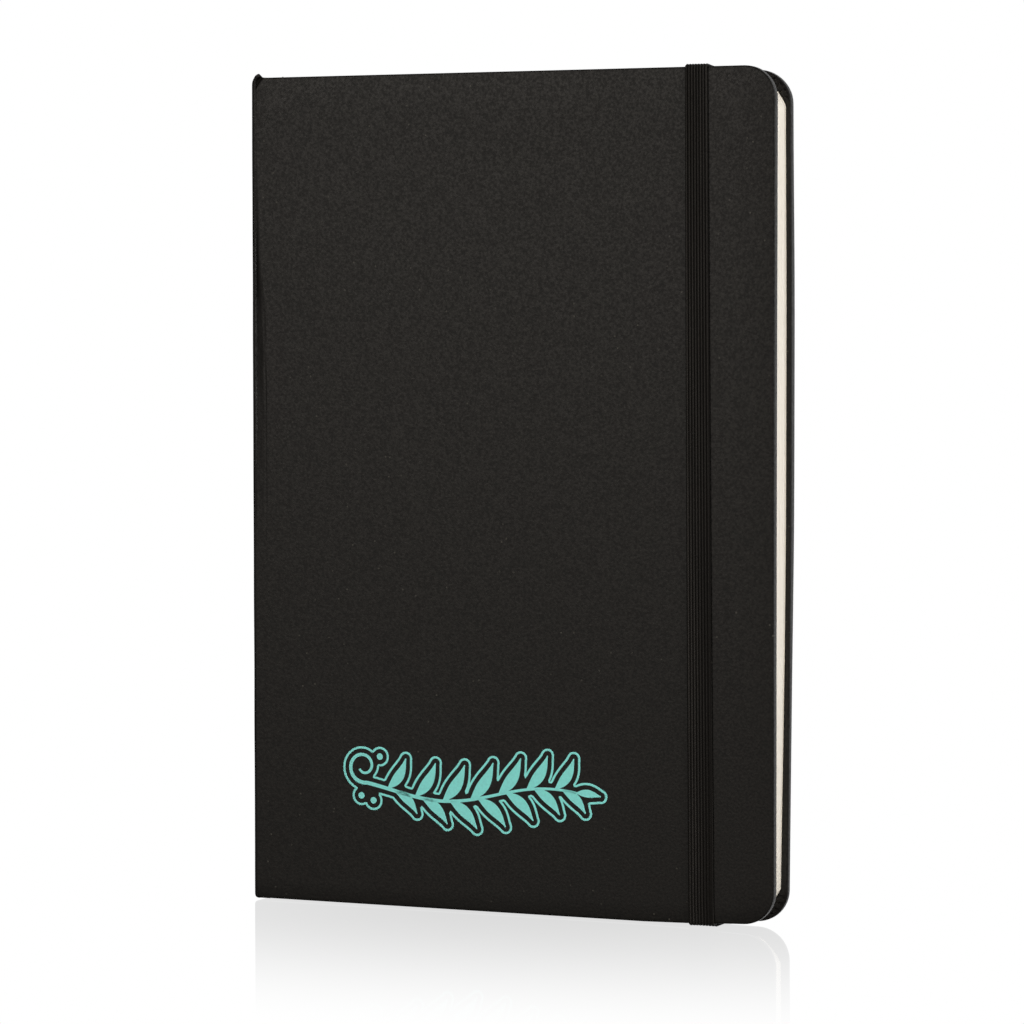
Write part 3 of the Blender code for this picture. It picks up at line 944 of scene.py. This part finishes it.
def add_leaf(lines, base, direction, length, bow):
    """Adds one pointed leaf that starts at base."""
    middle = []
    body = []
    for step in range(LEAF_STEPS + 1):
        t = step / LEAF_STEPS
        middle.append(leaf_point(base, direction, length, bow, t))
        body.append(0.14 * MM + 0.135 * length * math.sin(math.pi * t**0.85) ** 1.25)
    lines.append((middle, body, False))


def ring_round(centre, reach, width):
    """A closed round stroke, for a berry."""
    points = []
    for step in range(RING_STEPS):
        turn = 2 * math.pi * step / RING_STEPS
        points.append((centre[0] + reach * math.cos(turn), centre[1] + reach * math.sin(turn)))
    return points, [width] * RING_STEPS, True


def narrowing(steps):
    """Half widths of a stroke that thins towards its end."""
    return [0.52 * MM - 0.2 * MM * step / steps for step in range(steps + 1)]


def sprig_lines():
    """Every stroke of the sprig as (points, half widths, closed)."""
    lines = []
    stem = [stem_point(step / STEM_STEPS) for step in range(STEM_STEPS + 1)]
    lines.append((stem, narrowing(STEM_STEPS), False))
    for number in range(LEAF_PAIRS):
        t = 0.1 + 0.8 * number / (LEAF_PAIRS - 1)
        base = stem_point(t)
        size = 0.72 + 0.28 * math.sin(math.pi * (number + 0.9) / (LEAF_PAIRS + 0.8))
        add_leaf(lines, base, math.radians(57), 11.4 * MM * size, -0.9 * MM)
        base = stem_point(t + 0.035)
        add_leaf(lines, base, math.radians(-42), 10.2 * MM * size, 0.9 * MM)
    add_leaf(lines, stem_point(1.0), math.radians(-6), 6.6 * MM, 0.3 * MM)

    start = stem_point(0.0)
    middle = (start[0] - 1.0 * MM, start[1] + 4.2 * MM)
    curl = []
    for step in range(CURL_STEPS + 1):
        t = step / CURL_STEPS
        angle = math.radians(-76 - 430 * t)
        reach = 4.3 * MM * (1 - 0.7 * t)
        curl.append((middle[0] + reach * math.cos(angle), middle[1] + reach * math.sin(angle)))
    lines.append((curl, narrowing(CURL_STEPS), False))
    for x, z in ((-1.6, -3.3), (1.8, -4.4), (3.6, 6.8)):
        lines.append(ring_round((start[0] + x * MM, start[1] + z * MM), 0.42 * MM, 0.45 * MM))
    return lines


def outline_round(lines, distance, pitch):
    """Traces the even line that runs round the outside of all the strokes."""
    centres = np.array([point for points, _, _ in lines for point in points])
    radii = np.array([width for _, widths, _ in lines for width in widths])
    low = centres.min(axis=0) - 4 * distance
    high = centres.max(axis=0) + 4 * distance
    xs = np.arange(low[0], high[0], pitch)
    zs = np.arange(low[1], high[1], pitch)
    field = np.full((len(xs), len(zs)), 1.0)
    for (x, z), radius in zip(centres, radii):
        away = np.hypot(xs[:, None] - x, zs[None, :] - z) - radius
        field = np.minimum(field, away)
    inside = field < distance

    links = {}
    corners = np.stack([inside[:-1, :-1], inside[1:, :-1], inside[1:, 1:], inside[:-1, 1:]])
    for i, j in zip(*np.nonzero(corners.any(axis=0) & ~corners.all(axis=0))):
        ring = ((i, j), (i + 1, j), (i + 1, j + 1), (i, j + 1))
        crossings = [
            (tuple(sorted((first, second))), inside[first])
            for first, second in zip(ring, ring[1:] + ring[:1])
            if inside[first] != inside[second]
        ]
        for (edge, leaving), (other, _) in zip(crossings, crossings[1:] + crossings[:1]):
            if leaving:
                links[edge] = other

    best = []
    while links:
        start = here = next(iter(links))
        loop = []
        while here in links:
            loop.append(here)
            here = links.pop(here)
        if here == start and len(loop) > len(best):
            best = loop
    points = []
    for first, second in best:
        share = (distance - field[first]) / (field[second] - field[first])
        x = xs[first[0]] + (xs[second[0]] - xs[first[0]]) * share
        z = zs[first[1]] + (zs[second[1]] - zs[first[1]]) * share
        points.append((x, z))
    return points[::2]


def make_sprig(ink):
    """The printed sprig: thin flat strokes of ink on the front cover."""
    curve = bpy.data.curves.new("sprig_lines", "CURVE")
    curve.dimensions = "3D"
    curve.bevel_depth = 1.0
    curve.bevel_resolution = 3
    curve.use_fill_caps = True
    lines = sprig_lines()
    border = outline_round(lines, OUTLINE_AWAY, OUTLINE_PITCH)
    lines.append((border, [OUTLINE_WIDTH] * len(border), True))
    for points, widths, closed in lines:
        spline = curve.splines.new("POLY")
        spline.points.add(len(points) - 1)
        for point, (x, z), width in zip(spline.points, points, widths):
            point.co = (x, 0.0, z, 1.0)
            point.radius = width
        spline.use_cyclic_u = closed
    guide = bpy.data.objects.new("sprig_lines", curve)
    bpy.context.scene.collection.objects.link(guide)
    bpy.context.view_layer.update()
    finished = guide.evaluated_get(bpy.context.evaluated_depsgraph_get())
    mesh = bpy.data.meshes.new_from_object(finished)
    bpy.data.objects.remove(guide)
    bpy.data.curves.remove(curve)
    shape = bmesh.new()
    shape.from_mesh(mesh)
    bpy.data.meshes.remove(mesh)
    bmesh.ops.remove_doubles(shape, verts=shape.verts[:], dist=1e-7)
    bmesh.ops.recalc_face_normals(shape, faces=shape.faces[:])
    face = -HALF_THICKNESS - 0.005 * MM
    for vert in shape.verts:
        raised = max(-INK_RAISE, min(0.0, vert.co.y * 0.25))
        vert.co.y = face + raised
    settle(shape)
    piece = new_piece("sprig_ink", shape, ink, 40)
    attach(piece, "front_cover")
    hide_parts("cover_print")


# ---------------------------------------------------------------- room


def make_camera():
    """A long lens, a little to the right of the book and level with its middle."""
    data = bpy.data.cameras.new("camera")
    data.lens = CAMERA_LENS
    data.sensor_width = 36.0
    data.clip_start = 0.05
    data.clip_end = 20.0
    camera = bpy.data.objects.new("camera", data)
    bpy.context.scene.collection.objects.link(camera)
    camera.matrix_world = (
        Matrix.Translation(CAMERA_PLACE)
        @ Matrix.Rotation(math.radians(CAMERA_YAW), 4, "Z")
        @ Matrix.Rotation(math.radians(90 - CAMERA_PITCH), 4, "X")
        @ Matrix.Rotation(math.radians(CAMERA_ROLL), 4, "Z")
    )
    bpy.context.scene.camera = camera


def make_light(name, place, aim, size, power, colour):
    """A rectangular softbox at a place, turned to face its aim."""
    data = bpy.data.lights.new(name, "AREA")
    data.color = colour
    data.shape = "RECTANGLE"
    data.size, data.size_y = size
    data.energy = power
    light = bpy.data.objects.new(name, data)
    bpy.context.scene.collection.objects.link(light)
    light.location = place
    light.rotation_mode = "QUATERNION"
    light.rotation_quaternion = (Vector(aim) - Vector(place)).to_track_quat("-Z", "Y")
    return light


def make_dome():
    """A plain white backdrop all round, which only the camera sees."""
    dome_finish = bpy.data.materials.new("white_dome")
    dome_finish.use_nodes = True
    tree = dome_finish.node_tree
    glow = tree.nodes.new("ShaderNodeEmission")
    glow.inputs["Strength"].default_value = 1.0
    tree.links.new(glow.outputs["Emission"], tree.nodes["Material Output"].inputs["Surface"])
    shape = bmesh.new()
    bmesh.ops.create_icosphere(shape, subdivisions=4, radius=4.0)
    dome = new_piece("dome", shape, dome_finish)
    dome.visible_diffuse = False
    dome.visible_glossy = False
    dome.visible_shadow = False
    dome.visible_transmission = False
    return dome


def make_floor():
    """A pale floor, with a polish that fades away from the book."""
    floor_finish = bpy.data.materials.new("pale_floor")
    floor_finish.use_nodes = True
    tree = floor_finish.node_tree
    nodes = tree.nodes
    place = nodes.new("ShaderNodeTexCoord").outputs["Object"]
    centre = nodes.new("ShaderNodeVectorMath")
    centre.operation = "LENGTH"
    squash = nodes.new("ShaderNodeMapping")
    squash.inputs["Scale"].default_value = (0.62, 1.0, 1.0)
    tree.links.new(place, squash.inputs["Vector"])
    tree.links.new(squash.outputs["Vector"], centre.inputs[0])
    fade = nodes.new("ShaderNodeMapRange")
    fade.interpolation_type = "SMOOTHSTEP"
    fade.inputs["From Min"].default_value = 0.0
    fade.inputs["From Max"].default_value = FLOOR_POLISH_REACH
    fade.inputs["To Min"].default_value = FLOOR_POLISH
    fade.inputs["To Max"].default_value = 0.0
    tree.links.new(centre.outputs["Value"], fade.inputs["Value"])
    white = nodes.new("ShaderNodeEmission")
    white.inputs["Strength"].default_value = 1.0
    polish = nodes.new("ShaderNodeBsdfGlossy")
    polish.inputs["Color"].default_value = (1.0, 1.0, 1.0, 1.0)
    polish.inputs["Roughness"].default_value = 0.03
    mix = nodes.new("ShaderNodeMixShader")
    tree.links.new(fade.outputs["Result"], mix.inputs["Fac"])
    tree.links.new(white.outputs["Emission"], mix.inputs[1])
    tree.links.new(polish.outputs["BSDF"], mix.inputs[2])
    tree.links.new(mix.outputs["Shader"], nodes["Material Output"].inputs["Surface"])
    shape = bmesh.new()
    bmesh.ops.create_circle(shape, cap_ends=True, segments=96, radius=3.0)
    bmesh.ops.translate(shape, verts=shape.verts[:], vec=(0.0, 0.0, FLOOR_LEVEL))
    floor = new_piece("floor", shape, floor_finish)
    floor.visible_diffuse = False
    floor.visible_glossy = False
    return floor


def make_sky():
    """Soft light from all round: bright behind the book, dark at its sides, warm in front."""
    world = bpy.data.worlds.new("studio")
    bpy.context.scene.world = world
    world.use_nodes = True
    tree = world.node_tree
    nodes = tree.nodes
    coords = nodes.new("ShaderNodeTexCoord")
    split = nodes.new("ShaderNodeSeparateXYZ")
    tree.links.new(coords.outputs["Generated"], split.inputs["Vector"])
    ramp = nodes.new("ShaderNodeValToRGB")
    stops = ramp.color_ramp
    stops.elements[0].position = 0.0
    stops.elements[0].color = (0.315, 0.29, 0.265, 1.0)
    stops.elements[1].position = 1.0
    stops.elements[1].color = (1.0, 1.0, 1.0, 1.0)
    for position, colour in (
        (0.12, (0.28, 0.26, 0.236, 1.0)),
        (0.34, (0.05, 0.047, 0.043, 1.0)),
        (0.74, (0.05, 0.048, 0.046, 1.0)),
        (0.9, (1.0, 1.0, 1.0, 1.0)),
    ):
        stops.elements.new(position).color = colour
    where = nodes.new("ShaderNodeMapRange")
    where.inputs["From Min"].default_value = -1.0
    where.inputs["From Max"].default_value = 1.0
    tree.links.new(split.outputs["Y"], where.inputs["Value"])
    tree.links.new(where.outputs["Result"], ramp.inputs["Fac"])
    tree.links.new(ramp.outputs["Color"], nodes["Background"].inputs["Color"])
    dim = nodes.new("ShaderNodeMapRange")
    dim.inputs["From Min"].default_value = -0.35
    dim.inputs["From Max"].default_value = 0.05
    dim.inputs["To Min"].default_value = 0.5
    dim.inputs["To Max"].default_value = 1.0
    tree.links.new(split.outputs["Z"], dim.inputs["Value"])
    bright = nodes.new("ShaderNodeMath")
    bright.operation = "MAXIMUM"
    behind = nodes.new("ShaderNodeMapRange")
    behind.inputs["From Min"].default_value = 0.2
    behind.inputs["From Max"].default_value = 0.6
    tree.links.new(split.outputs["Y"], behind.inputs["Value"])
    tree.links.new(dim.outputs["Result"], bright.inputs[0])
    tree.links.new(behind.outputs["Result"], bright.inputs[1])
    tree.links.new(bright.outputs["Value"], nodes["Background"].inputs["Strength"])


def make_room():
    """Backdrop, floor, sky and the three softboxes."""
    make_dome()
    make_floor()
    make_sky()
    front = make_light(
        "front_softbox", (-0.42, -0.98, 0.36), (0.0, 0.0, 0.08), (0.55, 0.4), 0.18, WARM
    )
    front.data.spread = math.radians(50)
    pages = make_light("page_softbox", (1.2, -0.5, 0.35), PAGE_EDGE, (0.6, 0.9), 15.5, NEUTRAL)
    pages.visible_glossy = False
    make_light("corner_softbox", (1.1, -0.28, 0.35), PAGE_EDGE, (0.3, 0.3), 3.0, NEUTRAL)


def main():
    """Loads the frame, dresses it, and sets the room round it."""
    bpy.context.scene.view_settings.view_transform = "Standard"
    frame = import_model()

    leather = black_leather()
    elastic = woven_elastic()
    paper = drawing_paper("drawing_paper", srgb(238, 232, 222), srgb(229, 222, 210))
    endpaper = drawing_paper("endpaper", srgb(234, 226, 212), srgb(227, 218, 203))
    board = grey_board()
    ink = print_ink()

    for prefix, side in (("front", -1), ("back", 1)):
        make_cover_leather(prefix, side, leather)
        make_cover_board(prefix, side, board)
        make_joint_leather(prefix, side, leather)
        make_pastedown(prefix, endpaper)
        make_endpaper_hinge(prefix, side, endpaper)
    make_spine_leather(leather)
    for node in sorted(frame["nodes"]):
        if "_leaf_" in node:
            make_leaf(node, paper)
        elif node.endswith("_flyleaf"):
            make_leaf(node, endpaper)
        elif node.startswith("section_"):
            make_section(node, paper)
    make_elastic(elastic)
    make_sprig(ink)

    band = striped_band()
    kept = {
        "spine_card": board,
        "spine_liner": mull_gauze(),
        "headband": band,
        "tailband": band,
    }
    thread = linen_thread()
    for node, piece in frame["nodes"].items():
        finish = thread if node.startswith("sewing_thread") else kept.get(node)
        if finish:
            piece.data.materials.clear()
            piece.data.materials.append(finish)

    make_camera()
    make_room()


main()
